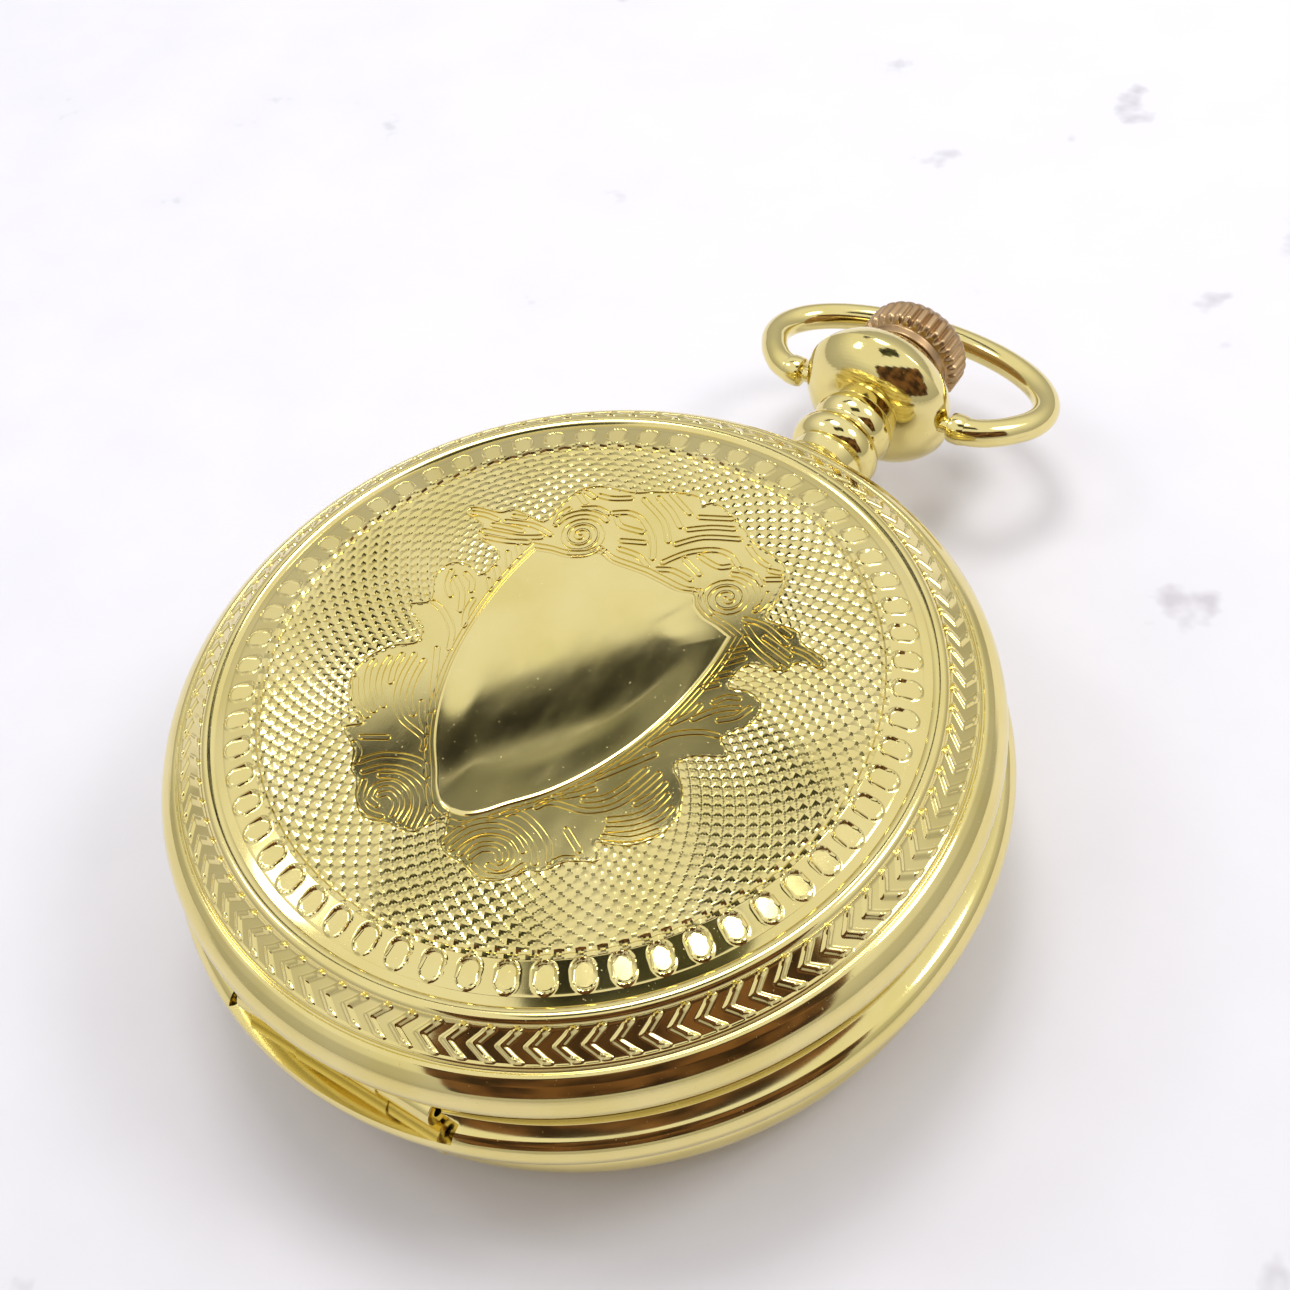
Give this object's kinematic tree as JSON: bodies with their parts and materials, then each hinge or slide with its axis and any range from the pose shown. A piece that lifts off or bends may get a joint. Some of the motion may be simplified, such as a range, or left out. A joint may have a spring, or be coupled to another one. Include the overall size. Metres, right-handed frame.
{
  "type": "pocket watch",
  "caption": "Double hunter-case pocket watch with engraved hinged covers, pendant, bow and fluted winding crown over a hand-wound lever movement.",
  "frame": {"origin": "on the case axis, on the flat of the back cover that the watch lies on", "axes": "+Z from the back cover to the engraved front cover, +Y towards the pendant and bow, +X to the right of the pendant seen from above"},
  "size_m": [0.047, 0.0663, 0.0164],
  "materials": {
    "gold_plate": "polished",
    "crown_metal": "satin",
    "crystal": "polished",
    "enamel_dial": "glossy",
    "blued_steel": "polished",
    "ruby": "polished",
    "gilt_brass": "frosted",
    "wheel_brass": "polished",
    "steel": "polished"
  },
  "bodies": {
    "case": {"back_hinge_pin": "gold_plate", "balance_cock": "gilt_brass", "barrel_bridge": "gilt_brass", "bezel": "gold_plate", "bridge_screws": "blued_steel", "case_middle": "gold_plate", "case_screws": "blued_steel", "click_spring": "steel", "crown_wheel_screw": "steel", "crystal": "crystal", "dial": "enamel_dial", "dust_cover": "gold_plate", "front_hinge_pin": "gold_plate", "hairspring": "blued_steel", "jewels": "ruby", "lift_spring": "steel", "main_plate": "gilt_brass", "pallet_bridge": "gilt_brass", "pendant": "gold_plate", "train_bridge": "gilt_brass"},
    "front_lid": {"front_cover": "gold_plate"},
    "back_lid": {"back_cover": "gold_plate"},
    "bow": {"bow": "gold_plate"},
    "winding_pinion": {"winding_pinion": "steel"},
    "winding_stem": {"winding_stem": "steel"},
    "crown": {"crown": "crown_metal", "pendant_stem": "steel"},
    "clutch": {"sliding_clutch": "steel"},
    "setting_lever": {"setting_lever": "steel"},
    "lock_spring": {"lock_spring": "steel"},
    "crown_wheel": {"crown_wheel": "steel"},
    "ratchet": {"ratchet_wheel": "steel", "ratchet_screw": "steel", "barrel_arbor": "steel"},
    "click": {"click": "steel"},
    "barrel": {"barrel_drum": "wheel_brass", "barrel_lid": "wheel_brass", "mainspring": "blued_steel"},
    "centre": {"centre_wheel": "wheel_brass", "centre_pinion": "steel", "cannon_pinion": "steel", "minute_hand": "blued_steel"},
    "third": {"third_wheel": "wheel_brass", "third_pinion": "steel"},
    "fourth": {"fourth_wheel": "wheel_brass", "fourth_pinion": "steel", "seconds_hand": "blued_steel"},
    "escape": {"escape_wheel": "wheel_brass", "escape_pinion": "steel"},
    "minute_wheel": {"minute_wheel": "wheel_brass"},
    "hour_wheel": {"hour_wheel": "wheel_brass", "hour_hand": "blued_steel"},
    "setting_wheel": {"setting_wheel": "steel"},
    "regulator": {"regulator": "steel"},
    "pallets": {"pallet_fork": "steel", "pallet_stones": "ruby"},
    "balance": {"balance_wheel": "wheel_brass", "balance_staff": "steel"}
  },
  "joints": [
    {"name": "front_cover_hinge", "type": "hinge", "parent": "case", "child": "front_lid", "pos_m": [0, -0.0213, 0.0099], "axis": [1, 0, 0], "range_deg": [0, 80]},
    {"name": "back_cover_hinge", "type": "hinge", "parent": "case", "child": "back_lid", "pos_m": [0, -0.0213, 0.0065], "axis": [-1, 0, 0], "range_deg": [0, 80]},
    {"name": "bow_swing", "type": "hinge", "parent": "case", "child": "bow", "pos_m": [0, 0.0323, 0.0082], "axis": [1, 0, 0], "range_deg": [-85, 115]},
    {"name": "winding_turn", "type": "hinge", "parent": "case", "child": "winding_pinion", "pos_m": [0, 0.0127, 0.0082], "axis": [0, 1, 0], "continuous": true},
    {"name": "crown_pull", "type": "slide", "parent": "winding_pinion", "child": "winding_stem", "axis": [0, 1, 0], "range_m": [0, 0.0006]},
    {"name": "crown_press", "type": "slide", "parent": "winding_stem", "child": "crown", "axis": [0, 1, 0], "range_m": [-0.0004, 0], "stiffness_N_per_m": 2000},
    {"name": "clutch_shift", "type": "slide", "parent": "winding_pinion", "child": "clutch", "axis": [0, 1, 0], "range_m": [-0.0006, 0]},
    {"name": "setting_lever_turn", "type": "hinge", "parent": "case", "child": "setting_lever", "pos_m": [0.0029, 0.0166, 0.01], "axis": [0, 0, 1], "range_deg": [-12.6, 0]},
    {"name": "lock_release", "type": "hinge", "parent": "case", "child": "lock_spring", "pos_m": [-0.01917, 0.00698, 0.0099], "axis": [0, 0, 1], "range_deg": [-0.9, 0]},
    {"name": "crown_wheel_turn", "type": "hinge", "parent": "case", "child": "crown_wheel", "pos_m": [0, 0.0093, 0.0082], "axis": [0, 0, 1], "continuous": true},
    {"name": "ratchet_turn", "type": "hinge", "parent": "case", "child": "ratchet", "pos_m": [-0.00816, 0.0038, 0.0082], "axis": [0, 0, 1], "continuous": true},
    {"name": "click_turn", "type": "hinge", "parent": "case", "child": "click", "pos_m": [-0.01076, -0.00334, 0.0046], "axis": [0, 0, 1], "range_deg": [-8, 0], "stiffness_Nm_per_rad": 0.0002},
    {"name": "barrel_turn", "type": "hinge", "parent": "case", "child": "barrel", "pos_m": [-0.00816, 0.0038, 0.0082], "axis": [0, 0, 1], "continuous": true},
    {"name": "minute_turn", "type": "hinge", "parent": "case", "child": "centre", "pos_m": [0, 0, 0.0082], "axis": [0, 0, 1], "continuous": true},
    {"name": "third_turn", "type": "hinge", "parent": "case", "child": "third", "pos_m": [0.00562, -0.00451, 0.0082], "axis": [0, 0, 1], "continuous": true},
    {"name": "fourth_turn", "type": "hinge", "parent": "case", "child": "fourth", "pos_m": [0.0095, 0, 0.0082], "axis": [0, 0, 1], "continuous": true},
    {"name": "escape_turn", "type": "hinge", "parent": "case", "child": "escape", "pos_m": [0.01405, -0.00166, 0.0082], "axis": [0, 0, 1], "continuous": true},
    {"name": "minute_wheel_turn", "type": "hinge", "parent": "case", "child": "minute_wheel", "pos_m": [0, 0.0048, 0.0082], "axis": [0, 0, 1], "continuous": true},
    {"name": "hour_turn", "type": "hinge", "parent": "case", "child": "hour_wheel", "pos_m": [0, 0, 0.0082], "axis": [0, 0, 1], "continuous": true},
    {"name": "setting_wheel_turn", "type": "hinge", "parent": "case", "child": "setting_wheel", "pos_m": [0, 0.0098, 0.0082], "axis": [0, 0, 1], "continuous": true},
    {"name": "pallet_swing", "type": "hinge", "parent": "case", "child": "pallets", "pos_m": [0.01217, -0.0049, 0.0082], "axis": [0, 0, 1], "range_deg": [-5, 5]},
    {"name": "regulator_turn", "type": "hinge", "parent": "case", "child": "regulator", "pos_m": [0.0095, -0.0095, 0.00476], "axis": [0, 0, 1], "range_deg": [-20, 20]},
    {"name": "balance_swing", "type": "hinge", "parent": "case", "child": "balance", "pos_m": [0.0095, -0.0095, 0.0082], "axis": [0, 0, 1], "range_deg": [-270, 270], "stiffness_Nm_per_rad": 0.0000002}
  ],
  "couplings": [
    {"joint": "clutch_shift", "follows": "crown_pull", "ratio": -1},
    {"joint": "setting_lever_turn", "follows": "crown_pull", "rad_per_m": -363.6},
    {"joint": "lock_release", "follows": "crown_press", "rad_per_m": 39.27},
    {"joint": "crown_wheel_turn", "follows": "winding_turn", "ratio": 0.6},
    {"joint": "ratchet_turn", "follows": "winding_turn", "ratio": -0.41379},
    {"joint": "barrel_turn", "follows": "minute_turn", "ratio": -0.15385},
    {"joint": "third_turn", "follows": "minute_turn", "ratio": -8},
    {"joint": "fourth_turn", "follows": "minute_turn", "ratio": 60},
    {"joint": "escape_turn", "follows": "minute_turn", "ratio": -600},
    {"joint": "minute_wheel_turn", "follows": "minute_turn", "ratio": -0.33333},
    {"joint": "hour_turn", "follows": "minute_turn", "ratio": 0.083333},
    {"joint": "setting_wheel_turn", "follows": "minute_turn", "ratio": 0.85714}
  ]
}
